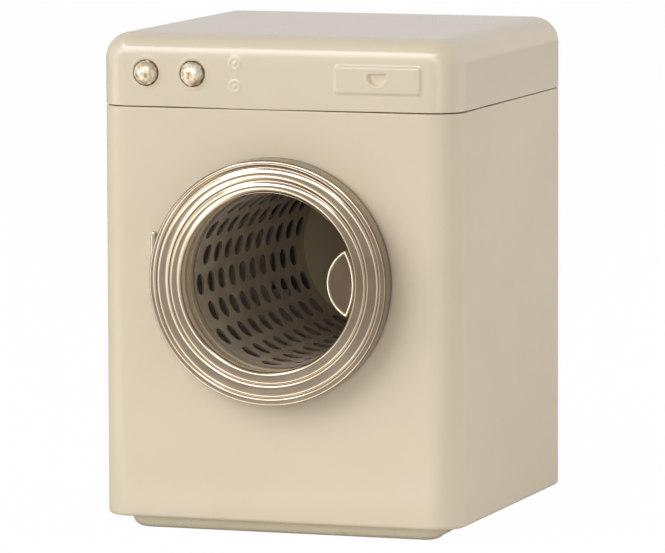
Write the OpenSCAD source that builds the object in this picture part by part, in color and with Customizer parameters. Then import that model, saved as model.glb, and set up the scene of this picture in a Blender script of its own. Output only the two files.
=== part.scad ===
// Toy washing machine in enamelled tinplate, at doll's-house size.
// Millimetres. X runs to the right as you face the machine, Y runs from the front to the back, and
// Z is up. The origin is on the floor under the middle of the cabinet.

/* [Cabinet] */
// Width of the cabinet
body_w = 85; // [75:0.5:120]
// Depth of the cabinet, from the front wall to the back wall
body_d = 84; // [84:0.5:120]
// Height of the wrapped walls, from the plinth up to the seam
wall_h = 93.3; // [91:0.1:120]
// Radius of the four upright corners
corner_r = 7; // [6.5:0.1:10]
// Thickness of the tinplate
sheet = 0.6; // [0.4:0.05:0.7]
// Radius of the curl along the bottom edge of the walls
curl_r = 0.9; // [0.8:0.1:2.5]
// Radius on the two edges that meet at the seam
seam_edge_r = 0.35; // [0.1:0.05:0.4]
// Width of the folded seam down the back wall
lock_seam_w = 5; // [3:0.5:8]
// Width of the line that the folded seam leaves on the outside
seam_line_w = 0.3; // [0.2:0.05:0.6]
// Depth of that line
seam_line_depth = 0.2; // [0.1:0.05:0.25]

/* [Plinth] */
// Height of the plinth under the walls
plinth_h = 3.2; // [2:0.1:6]
// How far the plinth is set in from the walls
plinth_inset = 4.6; // [3.6:0.1:7]
// Radius of the plinth's upright corners
plinth_r = 5.5; // [3:0.1:8]
// Radius around the plinth's bottom edge
plinth_edge_r = 1.2; // [0.8:0.1:2]
// Width of the plinth's rim, which rests on the curl inside the cabinet
plinth_rim = 1.8; // [1:0.1:2.2]

/* [Lid] */
// Height of the lid above the seam
lid_h = 16.5; // [15.5:0.1:22]
// Radius along the lid's top edge
lid_top_r = 5.8; // [3:0.1:6.2]
// Open gap at the seam
seam_gap = 0.25; // [0.1:0.05:0.6]
// Height of the neck band below the seam
neck_below = 5.5; // [3:0.1:8]
// Height of the neck band above the seam
neck_above = 4.4; // [2:0.1:4.6]

/* [Soap drawer front] */
// Width of the drawer front pressed into the lid
drawer_w = 20.9; // [16:0.1:26]
// Height of the drawer front
drawer_h = 6.7; // [6:0.1:8]
// Corner radius of the drawer front
drawer_r = 1; // [0.9:0.05:1.5]
// Distance from the middle of the cabinet to the middle of the drawer front
drawer_x = 24.3; // [20:0.1:25]
// Height of the middle of the drawer front above the seam
drawer_z = 7.1; // [6.5:0.1:7.8]
// How far the drawer front stands out of the lid
drawer_rise = 0.6; // [0.3:0.05:0.7]
// Width of the bevel round the drawer front
drawer_bevel = 0.75; // [0.5:0.05:0.8]
// Width of the half-round finger recess
recess_w = 5.4; // [4:0.1:7]
// Height of the half-round finger recess
recess_h = 3.3; // [2.8:0.1:4]
// Depth of the recess below the drawer front
recess_depth = 0.9; // [0.5:0.05:1]

/* [Knobs and buttons] */
// Diameter of a knob's dome
knob_d = 6; // [5:0.1:6.2]
// Height of a knob's dome
knob_proud = 2.5; // [2:0.1:2.8]
// Diameter of a knob's shank
knob_shank_d = 2; // [1.5:0.1:2.6]
// Distance from the middle of the cabinet to the outer knob
knob_outer_x = 30.8; // [29:0.1:31]
// Distance from the middle of the cabinet to the inner knob
knob_inner_x = 19.7; // [18:0.1:20.5]
// Height of the knobs above the seam
knob_z = 7.8; // [7.6:0.1:8]
// Diameter of the push nut behind each knob
knob_nut_d = 5; // [4:0.1:5.4]
// Distance from the middle of the cabinet to the two pressed buttons
button_x = 9.6; // [8:0.1:12]
// Height of the lower button above the seam
button_low_z = 5.2; // [4.8:0.1:5.6]
// Height of the upper button above the seam
button_high_z = 10.3; // [9.8:0.1:10.6]
// Diameter of a button's ring
button_d = 2.6; // [2:0.1:3]
// Radius of the bead that makes a button's ring
button_bead = 0.35; // [0.2:0.05:0.4]
// Radius of the dot in a button
button_dot_r = 0.6; // [0.4:0.05:0.7]
// Radius of the bead pressed into the lid round a knob
knob_bead = 0.4; // [0.2:0.05:0.5]
// Thickness of the push nuts
knob_nut_t = 0.5; // [0.3:0.05:0.6]
// How far a knob's shank stands out behind its nut
knob_end = 0.4; // [0.2:0.05:0.8]

/* [Port and drum] */
// Height of the drum's axis above the floor
port_z = 58.4; // [56:0.1:61]
// Inner radius of the drum
drum_r = 19.6; // [17:0.1:20]
// Thickness of the drum's sheet
drum_sheet = 0.5; // [0.4:0.05:0.6]
// Distance from the front wall back to the drum's front edge
drum_set = 1; // [0.6:0.1:2]
// Room behind the drum for its bearing, up to the outside of the back wall
back_room = 5.5; // [4.8:0.1:30]
// Diameter of a hole in the drum
hole_d = 4.8; // [3:0.1:5]
// Spacing of the holes along the drum
hole_pitch = 7.07; // [6:0.01:9]
// Distance from the drum's front edge to the first hole of a row
hole_first = 3.1; // [2.8:0.1:5]
// Number of rows of holes
hole_rows = 18; // [12:2:18]
// Angle from one row of holes to the next
row_angle = 19.2; // [17.5:0.1:19.4]
// Angle of the drum's lengthwise seam, from the side of the finger pull
drum_seam_angle = 35; // [0:1:90]
// Width of the folded seam along the drum
drum_fold_w = 4; // [2:0.1:6]
// Distance from the port collar to the start of the drum's folded seam
drum_fold_gap = 2; // [1:0.1:5]
// Depth of the flange round the back of the drum
back_flange = 2.4; // [1.5:0.1:4]
// How far the port collar reaches behind the front wall
collar_reach = 2.5; // [2:0.1:4]
// Outer radius of the collar's flange
collar_flange_r = 24; // [22.6:0.1:24.3]

/* [Drum bearing] */
// Radius of the axle
axle_r = 1.5; // [1:0.1:2]
// Radius of the axle's shoulder
shoulder_r = 3; // [2.5:0.1:4]
// Radius of the axle's rivet head inside the drum
axle_head_r = 3; // [2.2:0.1:4]
// Height of the axle's rivet head
axle_head_h = 0.8; // [0.4:0.1:1.2]
// Radius of the reinforcing plate on the back of the drum
hub_plate_r = 8; // [6:0.1:12]
// Thickness of the reinforcing plate
hub_plate_t = 0.8; // [0.4:0.1:1.2]
// Wall of the bush round the axle
bush_wall = 1.1; // [0.6:0.1:1.5]
// How far the bush's flange reaches past its wall
bush_lip = 1.2; // [0.6:0.1:2]
// Thickness of the bush's flange
bush_flange_t = 0.5; // [0.3:0.05:0.8]
// How far the bush stands out behind the bracket
bush_tail = 1; // [0.4:0.1:1]
// Gap between the drum and the bush's flange
bush_gap = 0.6; // [0.4:0.1:1]
// Thickness of the clip on the axle
clip_t = 0.5; // [0.3:0.05:0.5]
// How far the clip reaches past the axle
clip_reach = 1.6; // [1:0.1:2]
// Width of the slot through which the clip is pushed on
clip_slot = 1; // [0.6:0.1:1.2]
// Depth of the groove that holds the clip
clip_groove = 0.3; // [0.2:0.05:0.4]
// Length of the axle behind the clip
axle_tail = 0.3; // [0.2:0.05:0.3]
// Width of the bearing bracket on the back wall
bracket_w = 60; // [45:0.5:64]
// Height of the bearing bracket
bracket_h = 24; // [16:0.5:30]
// Thickness of the bearing bracket
bracket_t = 0.8; // [0.6:0.05:1]
// Width of each foot of the bracket
bracket_foot = 9; // [6:0.5:12]
// Radius of the mark that a weld spot leaves on the back wall
weld_r = 1.3; // [0.8:0.1:2]
// Depth of the mark
weld_depth = 0.12; // [0.05:0.01:0.2]

/* [Door] */
// Outer radius of the door ring
ring_or = 27.7; // [27:0.1:28]
// Inner radius of the door ring
ring_ir = 20.2; // [18:0.1:20.4]
// How far the door ring stands out of the front wall
ring_proud = 6.9; // [6.4:0.1:8]
// Thickness of the pressed ring
ring_sheet = 0.5; // [0.4:0.05:0.6]
// Width of the innermost bead
bead_in_w = 2.5; // [2.2:0.05:2.6]
// Width of the middle bead
bead_mid_w = 2.45; // [2.2:0.05:2.6]
// Width of the grooves between the beads
groove_w = 0.55; // [0.4:0.05:0.6]
// Height of the beads over the grooves
bead_h = 0.6; // [0.3:0.05:0.65]
// Width of the flat edge beside the first and the last bead
bead_edge = 0.15; // [0.1:0.05:0.25]
// Gap between the closed door and the port collar's flange
door_gap = 0.15; // [0.1:0.05:0.3]
// How deep the flat ring that closes the door from behind is set in from the door's back edge
backing_set = 1.45; // [1.2:0.05:1.6]
// Thickness of that flat ring
backing_t = 0.4; // [0.3:0.05:0.5]
// How much wider the backing's hole is than the ring's bore, on the radius
backing_step = 0.3; // [0.1:0.05:0.5]
// Radius of the clear window
window_r = 21.6; // [21:0.1:21.8]
// Thickness of the clear window
window_t = 0.6; // [0.4:0.05:0.8]
// Clearance round the window's edge
window_play = 0.2; // [0.1:0.05:0.3]
// Radius of the finger pull's inner edge
pull_r = 8.4; // [7.8:0.1:9]
// Radius of the finger pull's edge along the ring's bore
pull_side_r = 15.1; // [13:0.1:18]
// How far the finger pull reaches in from the ring's bore
pull_reach = 6.2; // [5.5:0.1:7]
// Angle of the finger pull above the middle of the door
pull_turn = 2; // [0:0.5:4]
// Width of the raised rim round the finger pull
pull_rim = 0.35; // [0.3:0.05:0.6]
// Thickness of the finger pull at its rim
pull_t = 1.2; // [1:0.1:1.6]
// Depth of the finger pull's face below its rim
pull_dish = 0.5; // [0.3:0.1:0.7]
// How far the finger pull's rim lies below the grooves of the ring
pull_low = 0.8; // [0:0.05:1]
// Height of the foot that joins the finger pull to the ring's bore
pull_foot_h = 6; // [4:0.1:8]
// Width of the foot
pull_foot_w = 2; // [1.5:0.1:3]
// Thickness of the foot
pull_foot_t = 0.9; // [0.5:0.1:1]
// Radius of the magnet that keeps the door shut
magnet_r = 2.2; // [1.8:0.1:2.4]
// Thickness of the magnet
magnet_t = 1.3; // [1:0.05:1.35]

/* [Door hinge] */
// Outer radius of the hinge barrel
barrel_r = 0.8; // [0.75:0.05:0.9]
// Radius of the hinge pin
pin_r = 0.4; // [0.35:0.05:0.45]
// Gap between the barrel and the door ring
barrel_gap = 0.25; // [0.2:0.05:0.6]
// Gap between the barrel and the front wall
wall_gap = 0.2; // [0.1:0.05:0.25]
// Height of the barrel's top above the drum's axis
barrel_top = 9.5; // [8:0.1:10]
// Length of one of the three knuckles
knuckle_h = 4.3; // [3.5:0.1:4.5]
// Gap between two knuckles
knuckle_gap = 0.15; // [0.1:0.05:0.3]
// Thickness of the hinge leaves
leaf_t = 0.45; // [0.35:0.05:0.5]
// Distance from the hinge leaf inside the front wall to the bend of the cabinet's corner
leaf_corner = 0.25; // [0.1:0.05:2]
// Distance from the inside of the ring's rim to the step in the door's leaf
leaf_step_in = 1; // [0.8:0.1:1.5]
// Length of the door's leaf from its step to its end
leaf_reach = 3.3; // [3:0.1:4]
// Radius of the rivets that hold the door's leaf
rivet_r = 0.4; // [0.3:0.05:0.5]
// Thickness of the rivets' heads
rivet_head_t = 0.4; // [0.2:0.05:0.6]
// Distance from the rivets to the end of the leaf
rivet_edge = 1.4; // [1.1:0.1:1.6]
// Spacing of the two rivets
rivet_pitch = 2.4; // [2:0.1:2.6]
// How much smaller the pin's heads are than the barrel, on the radius
pin_head_in = 0.1; // [0.05:0.05:0.2]
// Height of the pin's spread end
pin_foot = 0.3; // [0.2:0.05:0.5]

/* [Clearances] */
// Clearance between pieces that are fixed to each other
seat = 0.05; // [0.03:0.01:0.08]
// Clearance of a turning fit, on the radius
run = 0.05; // [0.03:0.01:0.08]
// Clearance between the drum and the port collar, on the radius
drum_run = 0.1; // [0.06:0.01:0.3]

/* [Hidden] */
$fn = 96;
small_fn = 32;
hole_fn = 24;
eps = 0.01;
past = 1;

enamel = "#d9cdb5";
champagne = "#b5a78f";
steel = "#8d8579";

seam_z = plinth_h + wall_h;
front_y = -body_d / 2;
back_in_y = body_d / 2 - sheet;

// The plan of the hole in the walls' bottom curl, and of the pan that fills it
pan_w = body_w - 2 * plinth_inset;
pan_d = body_d - 2 * plinth_inset;

// The stack of pieces at the port, as distances in front of the front wall
collar_flange_t = sheet;
door_back = collar_flange_t + door_gap;
backing_at = door_back + backing_set;
window_back = backing_at + backing_t + seat;
window_front = window_back + window_t;
groove_t = ring_proud - bead_h;
pull_at = groove_t - pull_low - pull_t;

// Radii of the pieces round the drum
drum_or = drum_r + drum_sheet;
collar_ir = drum_or + drum_run;
collar_or = collar_ir + sheet;
bead_out_w = ring_or - ring_ir - 2 * bead_edge - bead_in_w - bead_mid_w - 2 * groove_w;

// The stack of pieces on the drum's axis, as distances behind the front wall
drum_end = body_d - back_room;
drum_len = drum_end - drum_set;
disc_at = drum_end - back_flange - drum_sheet;
bracket_at = drum_end + bush_gap + bush_flange_t;
bush_r = axle_r + bush_wall;
shoulder_end = bracket_at - bush_flange_t - run;
bush_end = bracket_at + bracket_t + bush_tail;
clip_at = bush_end + run;
axle_end = clip_at + clip_t + axle_tail;
wall_in = body_d - sheet;

// Holes that fit in one row, and the angle of the first row from the side of the finger pull
holes_in_row = 1 + floor((disc_at - drum_set - hole_first - (hole_pitch + hole_d) / 2) / hole_pitch);
first_row_angle = drum_seam_angle + (360 - (hole_rows - 1) * row_angle) / 2;

// The back of the finger recess, and the end of a knob's shank, behind the lid's front wall
recess_back = recess_depth - drawer_rise + sheet;
knob_tail = sheet + run + knob_nut_t + knob_end;

// The hinge
barrel_x = -(ring_or + barrel_gap + barrel_r);
barrel_t = barrel_r + wall_gap;
barrel_low = barrel_top - 3 * knuckle_h - 2 * knuckle_gap;
leaf_from = -(body_w / 2 - corner_r - leaf_corner);
leaf_to = barrel_x - barrel_r + leaf_t;
leaf_step_x = -(ring_or - ring_sheet - leaf_step_in);
leaf_end = leaf_step_x + leaf_reach;
leaf_high = backing_at - seat - leaf_t;

// Drawing frames. In the front frame x is the machine's x, y is its height and z is the distance
// in front of the front wall. The port frame is the same, centred on the drum's axis.
module front_frame(x = 0, z = 0) {
    translate([x, front_y, z]) rotate([90, 0, 0]) children();
}
module port_frame() {
    front_frame(0, port_z) children();
}

// A flat rounded rectangle
module rounded_plan(w, d, r) {
    square([w - 2 * r, d], center = true);
    square([w, d - 2 * r], center = true);
    for (sx = [-1, 1], sy = [-1, 1])
        translate([sx * (w / 2 - r), sy * (d / 2 - r)]) circle(r);
}

// Carries a flat profile round a rounded rectangle. The profile's x is measured from the centre
// of the corner, so the outside of the wall is at x = r.
module around(w, d, r) {
    for (q = [0:3]) {
        across = q % 2 == 0 ? w : d;
        along = q % 2 == 0 ? d : w;
        rotate(90 * q) {
            translate([across / 2 - r, along / 2 - r, 0]) rotate_extrude(angle = 90) children();
            translate([across / 2 - r, along / 2 - r, 0])
                rotate([90, 0, 0]) linear_extrude(along - 2 * r) children();
        }
    }
}

// A solid block with rounded upright corners and a rounded top edge
module soft_block(w, d, r, top_r, h) {
    around(w, d, r) {
        square([r - top_r, h]);
        square([r, h - top_r]);
        translate([r - top_r, h - top_r]) intersection() {
            circle(top_r);
            square(top_r);
        }
    }
    translate([0, 0, h / 2]) cube([w - 2 * r, d - 2 * r, h], center = true);
}

// What a rounded edge takes off a wall whose edge is at height 0 and which rises from there
module edge_cut(r) {
    around(body_w, body_d, corner_r) translate([corner_r - r, 0]) difference() {
        translate([0, -eps]) square([r + eps, r + eps]);
        translate([0, r]) circle(r);
    }
}

// The wrapped walls, with the bottom edge curled in under the cabinet
module cabinet_shell() {
    color(enamel) difference() {
        union() {
            around(body_w, body_d, corner_r) {
                translate([corner_r - sheet, plinth_h + curl_r])
                    square([sheet, wall_h - curl_r]);
                translate([corner_r - curl_r, plinth_h + curl_r]) intersection() {
                    difference() {
                        circle(curl_r);
                        circle(curl_r - sheet);
                    }
                    translate([0, -curl_r]) square(curl_r);
                }
                translate([0, plinth_h]) square([corner_r - curl_r, sheet]);
            }
            translate([0, 0, plinth_h + sheet / 2])
                cube([body_w - 2 * corner_r, body_d - 2 * corner_r, sheet], center = true);
            // The folded seam stands inside the back wall, between the curl and the neck band
            translate([-lock_seam_w / 2, back_in_y - sheet, plinth_h + curl_r])
                cube([lock_seam_w, 1.5 * sheet, wall_h - curl_r - neck_below - sheet]);
        }
        translate([0, 0, plinth_h - eps]) linear_extrude(sheet + 2 * eps)
            rounded_plan(pan_w + 2 * seat, pan_d + 2 * seat, plinth_r + seat);
        port_frame() translate([0, 0, -sheet - past]) cylinder(r = collar_or + seat, h = sheet + 2 * past);
        for (k = [0, 2]) hinge_slot(k);
        translate([0, 0, seam_z]) mirror([0, 0, 1]) edge_cut(seam_edge_r);
        translate([-seam_line_w / 2, body_d / 2 - seam_line_depth, plinth_h + curl_r])
            cube([seam_line_w, seam_line_depth + past, wall_h]);
        weld_marks();
    }
}

// The marks of the four weld spots that hold the bearing bracket to the back wall
module weld_marks() {
    ball = (weld_r * weld_r + weld_depth * weld_depth) / (2 * weld_depth);
    for (sx = [-1, 1], sz = [-1, 1])
        translate([sx * (bracket_w - bracket_foot) / 2, body_d / 2 + ball - weld_depth,
            port_z + sz * bracket_h / 4]) sphere(ball);
}

// The slot in the front wall for a knuckle of the hinge
module hinge_slot(k) {
    front_frame() translate([barrel_x - barrel_r - seat, port_z + knuckle_low(k) - seat, -sheet - past])
        cube([leaf_t + 2 * seat, knuckle_h + 2 * seat, sheet + 2 * past]);
}

// The shallow pan that closes the bottom and makes the plinth
module base_pan() {
    color(enamel) difference() {
        union() {
            mirror([0, 0, 1]) translate([0, 0, -plinth_h - 2 * sheet])
                soft_block(pan_w, pan_d, plinth_r, plinth_edge_r, plinth_h + 2 * sheet);
            translate([0, 0, plinth_h + sheet]) linear_extrude(sheet)
                rounded_plan(pan_w + 2 * plinth_rim, pan_d + 2 * plinth_rim, plinth_r + plinth_rim);
        }
        translate([0, 0, plinth_h + 2 * sheet + eps]) mirror([0, 0, 1])
            soft_block(pan_w - 2 * sheet, pan_d - 2 * sheet, plinth_r - sheet,
                plinth_edge_r - sheet, plinth_h + sheet + eps);
    }
}

// The band inside the seam, which holds the walls and the lid in line
module neck_band() {
    inset = sheet + seat;
    color(enamel) translate([0, 0, seam_z - neck_below]) linear_extrude(neck_below + neck_above)
        difference() {
            rounded_plan(body_w - 2 * inset, body_d - 2 * inset, corner_r - inset);
            rounded_plan(body_w - 2 * (inset + sheet), body_d - 2 * (inset + sheet),
                corner_r - inset - sheet);
        }
}

// A half-round outline with its flat side up, centred on the middle of its height
module half_round(w, h) {
    r = (w * w / 4 + h * h) / (2 * h);
    intersection() {
        translate([0, r - h / 2]) circle(r);
        translate([-w, -h / 2]) square([2 * w, h]);
    }
}

// The soap drawer's front with its bevel. The inner side of the pressing is drawn in by a sheet's
// thickness and lies as much lower.
module drawer_form(shrink, low, high) {
    w = drawer_w - 2 * shrink;
    h = drawer_h - 2 * shrink;
    around(w, h, drawer_r) polygon([[0, low], [drawer_r, low], [drawer_r, high - drawer_rise],
        [drawer_r - drawer_bevel, high], [0, high]]);
    translate([0, 0, (low + high) / 2])
        cube([w - 2 * drawer_r, h - 2 * drawer_r, high - low], center = true);
}

// A pressed button: a small ring with a dot in it
module button_form() {
    translate([0, 0, -button_bead / 4]) rotate_extrude()
        translate([button_d / 2 - button_bead, 0]) circle(button_bead, $fn = small_fn);
    translate([0, 0, -button_dot_r / 6]) sphere(button_dot_r, $fn = small_fn);
}

// The shallow pressed ring that a knob sits in
module knob_seat_form() {
    translate([0, 0, -knob_bead / 2]) rotate_extrude()
        translate([knob_d / 2 + knob_bead, 0]) circle(knob_bead, $fn = small_fn);
}

// What stands in front of the inside of a front wall
module before_wall(w) {
    intersection() {
        children();
        translate([-w, -w, -sheet]) cube([2 * w, 2 * w, 2 * w]);
    }
}

// The pressed lid with its panel forms
module lid_shell() {
    low = seam_z + seam_gap;
    high = seam_z + lid_h;
    color(enamel) difference() {
        union() {
            difference() {
                translate([0, 0, low]) soft_block(body_w, body_d, corner_r, lid_top_r, high - low);
                translate([0, 0, low - eps])
                    soft_block(body_w - 2 * sheet, body_d - 2 * sheet, corner_r - sheet,
                        lid_top_r - sheet, high - low - sheet + eps);
            }
            front_frame(drawer_x, seam_z + drawer_z) {
                drawer_form(0, -sheet, drawer_rise);
                translate([0, 0, -recess_back]) linear_extrude(recess_back)
                    half_round(recess_w + 2 * sheet, recess_h + 2 * sheet);
            }
            for (z = [button_low_z, button_high_z])
                front_frame(-button_x, seam_z + z) before_wall(button_d) button_form();
            for (x = [knob_outer_x, knob_inner_x])
                front_frame(-x, seam_z + knob_z) before_wall(knob_d) knob_seat_form();
        }
        // Inner side of the drawer front, left standing round the finger recess
        front_frame(drawer_x, seam_z + drawer_z) {
            difference() {
                drawer_form(sheet, -sheet - past, drawer_rise - sheet);
                translate([0, 0, -recess_back - past]) linear_extrude(recess_back + 2 * past)
                    half_round(recess_w + 2 * sheet, recess_h + 2 * sheet);
            }
            translate([0, 0, drawer_rise - recess_depth]) linear_extrude(recess_depth + past)
                half_round(recess_w, recess_h);
        }
        for (x = [knob_outer_x, knob_inner_x]) front_frame(-x, seam_z + knob_z)
            translate([0, 0, -sheet - past]) cylinder(d = knob_shank_d + 2 * run, h = sheet + 2 * past);
        translate([0, 0, low]) edge_cut(seam_edge_r);
    }
}

// The flanged collar that lines the port
module port_collar() {
    color(enamel) port_frame() rotate_extrude() {
        translate([collar_ir, -collar_reach]) square([sheet, collar_reach + collar_flange_t]);
        translate([collar_ir, 0]) square([collar_flange_r - collar_ir, collar_flange_t]);
    }
}

// The height of a knuckle's lower end above the drum's axis, counted from the bottom
function knuckle_low(k) = barrel_low + k * (knuckle_h + knuckle_gap);

// One knuckle of the hinge, without its bore
module knuckle(k) {
    port_frame() translate([barrel_x, knuckle_low(k), barrel_t])
        rotate([-90, 0, 0]) cylinder(r = barrel_r, h = knuckle_h);
}

// The bore through the knuckles
module hinge_bore() {
    port_frame() translate([barrel_x, barrel_low - past, barrel_t])
        rotate([-90, 0, 0]) cylinder(r = pin_r + run, h = barrel_top - barrel_low + 2 * past);
}

// The leaf behind the front wall, whose two tongues pass the slots and carry the pin
module cabinet_hinge_leaf() {
    inner_t = -sheet - seat - leaf_t;
    color(enamel) difference() {
        union() {
            for (k = [0, 2]) {
                knuckle(k);
                port_frame() translate([barrel_x - barrel_r, knuckle_low(k), inner_t])
                    cube([leaf_t, knuckle_h, barrel_t - inner_t]);
            }
            port_frame() translate([leaf_from, barrel_low, inner_t])
                cube([leaf_to - leaf_from, barrel_top - barrel_low, leaf_t]);
        }
        hinge_bore();
    }
}

// The hinge pin, with a domed head at its top and a spread end below
module hinge_pin() {
    head_r = barrel_r - pin_head_in;
    long = barrel_top - barrel_low + 2 * run;
    color(steel) port_frame() translate([barrel_x, barrel_low - run, barrel_t]) rotate([-90, 0, 0]) {
        cylinder(r = pin_r, h = long);
        translate([0, 0, long]) intersection() {
            sphere(head_r, $fn = small_fn);
            translate([-head_r, -head_r, 0]) cube(2 * head_r);
        }
        translate([0, 0, -pin_foot]) cylinder(r = head_r, h = pin_foot);
    }
}

// The bracket on the back wall, raised in the middle to carry the bush
module drum_bracket() {
    rise_x = bracket_w / 2 - bracket_foot;
    color(steel) difference() {
        translate([0, front_y, port_z - bracket_h / 2]) union() {
            for (s = [-1, 1]) {
                translate([s * (bracket_w - bracket_foot) / 2, wall_in - bracket_t / 2, bracket_h / 2])
                    cube([bracket_foot, bracket_t, bracket_h], center = true);
                translate([s * rise_x, (bracket_at + wall_in) / 2, bracket_h / 2])
                    cube([bracket_t, wall_in - bracket_at, bracket_h], center = true);
            }
            translate([0, bracket_at + bracket_t / 2, bracket_h / 2])
                cube([2 * rise_x + bracket_t, bracket_t, bracket_h], center = true);
        }
        port_frame() translate([0, 0, -wall_in]) cylinder(r = bush_r + seat, h = wall_in - bracket_at + past);
    }
}

// The flanged bush in the bracket
module bearing_bush() {
    color("#a98c4f") port_frame() rotate([180, 0, 0]) difference() {
        union() {
            translate([0, 0, bracket_at - bush_flange_t]) cylinder(r = bush_r + bush_lip, h = bush_flange_t);
            translate([0, 0, bracket_at - eps]) cylinder(r = bush_r, h = bush_end - bracket_at + eps);
        }
        cylinder(r = axle_r + run, h = bush_end + past);
    }
}

// The section of one bead standing on the ground between the beads, drawn in by a sheet's
// thickness for the hollow side. Sections have x as the radius and y as the distance in front of
// the wall.
module bead_section(at, w, in = 0) {
    r = (w * w / 4 + bead_h * bead_h) / (2 * bead_h);
    root = 5 * eps;
    intersection() {
        translate([at + w / 2, ring_proud - r]) circle(r - in);
        translate([at - w, groove_t - in - root]) square([3 * w, bead_h + past]);
    }
}

// The pressed ring of the door, hollow from behind, with the outermost bead folded solid
module door_ring() {
    in_at = ring_ir + bead_edge;
    mid_at = in_at + bead_in_w + groove_w;
    color(champagne) port_frame() rotate_extrude() difference() {
        union() {
            translate([ring_ir, door_back]) square([ring_or - ring_ir, groove_t - door_back]);
            bead_section(in_at, bead_in_w);
            bead_section(mid_at, bead_mid_w);
            bead_section(mid_at + bead_mid_w + groove_w, bead_out_w);
        }
        translate([ring_ir + ring_sheet, door_back - past])
            square([ring_or - ring_ir - 2 * ring_sheet, groove_t - ring_sheet - door_back + past]);
        bead_section(in_at, bead_in_w, ring_sheet);
        bead_section(mid_at, bead_mid_w, ring_sheet);
        translate([ring_ir - past, door_back - past])
            square([window_r + window_play - ring_ir + past, window_front + seat - door_back + past]);
    }
}

// The flat ring that closes the door from behind and holds the window. Its inner edge is turned
// back, so that it lines the bore.
module door_backing() {
    hole_r = ring_ir + backing_step;
    color(champagne) difference() {
        port_frame() difference() {
            union() {
                translate([0, 0, backing_at]) cylinder(r = ring_or - ring_sheet - seat, h = backing_t);
                translate([0, 0, door_back]) cylinder(r = hole_r + backing_t, h = backing_set + eps);
            }
            translate([0, 0, door_back - past]) cylinder(r = hole_r, h = backing_set + backing_t + 2 * past);
        }
        rivet_places() cylinder(r = rivet_r + seat, h = ring_proud, $fn = small_fn);
    }
}

// The clear window
module door_window() {
    color("#dfe6e0", 0.3) port_frame() translate([0, 0, window_back]) cylinder(r = window_r, h = window_t);
}

// The lens-shaped plan of the finger pull, drawn in by the given amount
module pull_plan(in) {
    edge_x = ring_ir - seat;
    intersection() {
        translate([edge_x - pull_side_r, 0]) circle(pull_side_r - in);
        translate([edge_x - pull_reach + pull_r, 0]) circle(pull_r - in);
    }
}

// The finger pull at the free side of the door, with a foot behind it that meets the bore
module finger_pull() {
    color(champagne) port_frame() rotate(pull_turn) {
        translate([0, 0, pull_at]) difference() {
            linear_extrude(pull_t) pull_plan(0);
            translate([0, 0, pull_t - pull_dish]) linear_extrude(pull_dish + past) pull_plan(pull_rim);
        }
        translate([0, 0, pull_at - pull_foot_t]) linear_extrude(pull_foot_t + eps) intersection() {
            pull_plan(seat);
            translate([ring_ir - pull_foot_w, -pull_foot_h / 2]) square([pull_foot_w, pull_foot_h]);
        }
    }
}

// The door's leaf, from the middle knuckle to the back of the door. It passes behind the ring's
// rim and then steps up to lie on the flat ring.
module door_hinge_leaf() {
    low = barrel_t - barrel_r;
    color(champagne) difference() {
        union() {
            knuckle(1);
            port_frame() translate([barrel_x, knuckle_low(1), low])
                cube([leaf_step_x + leaf_t - barrel_x, knuckle_h, leaf_t]);
            port_frame() translate([leaf_step_x, knuckle_low(1), low])
                cube([leaf_t, knuckle_h, leaf_high + leaf_t - low]);
            port_frame() translate([leaf_step_x, knuckle_low(1), leaf_high])
                cube([leaf_reach, knuckle_h, leaf_t]);
        }
        hinge_bore();
        rivet_places() cylinder(r = rivet_r + seat, h = ring_proud, $fn = small_fn);
    }
}

// Where the two rivets of the door's leaf stand
module rivet_places() {
    for (s = [-1, 1]) port_frame()
        translate([leaf_end - rivet_edge, knuckle_low(1) + (knuckle_h + s * rivet_pitch) / 2, 0])
            children();
}

// The two rivets, each with its head inside the hollow of the ring
module door_rivets() {
    color(steel) rivet_places() {
        translate([0, 0, leaf_high]) cylinder(r = rivet_r, h = window_back - leaf_high, $fn = small_fn);
        translate([0, 0, window_back]) cylinder(r = 2 * rivet_r, h = rivet_head_t, $fn = small_fn);
    }
}

// The magnet on the back of the free side of the door, which holds to the tinplate
module door_magnet() {
    in_r = ring_ir + backing_step + backing_t;
    out_r = ring_or - ring_sheet;
    color("#5b5a58") port_frame() translate([(in_r + out_r) / 2, 0, backing_at - seat - magnet_t])
        cylinder(r = magnet_r, h = magnet_t);
}

// The perforated drum: staggered rows of round holes, with a plain strip at its lengthwise seam
module drum_shell() {
    color(steel) port_frame() difference() {
        union() {
            translate([0, 0, -drum_end]) cylinder(r = drum_or, h = drum_len);
            // The folded seam, which stops short of the collar
            rotate(drum_seam_angle) translate([0, -drum_fold_w / 2, -drum_end])
                cube([drum_or + drum_sheet, drum_fold_w, drum_end - collar_reach - drum_fold_gap]);
        }
        translate([0, 0, -drum_end - past]) cylinder(r = drum_r, h = drum_len + 2 * past);
        for (row = [0:hole_rows - 1], k = [0:holes_in_row - 1]) {
            stagger = row % 2 == 0 ? hole_pitch / 2 : 0;
            rotate(first_row_angle + row * row_angle)
                translate([drum_r - past, 0, -(drum_set + hole_first + k * hole_pitch + stagger)])
                    rotate([0, 90, 0]) cylinder(d = hole_d, h = drum_sheet + 2 * past, $fn = hole_fn);
        }
    }
}

// The flanged disc that closes the back of the drum
module drum_back() {
    rim_r = drum_r - seat;
    color(enamel) port_frame() rotate([180, 0, 0]) difference() {
        translate([0, 0, disc_at]) cylinder(r = rim_r, h = drum_end - disc_at);
        translate([0, 0, disc_at + drum_sheet]) cylinder(r = rim_r - drum_sheet, h = drum_end);
        cylinder(r = axle_r + seat, h = drum_end);
    }
}

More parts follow.
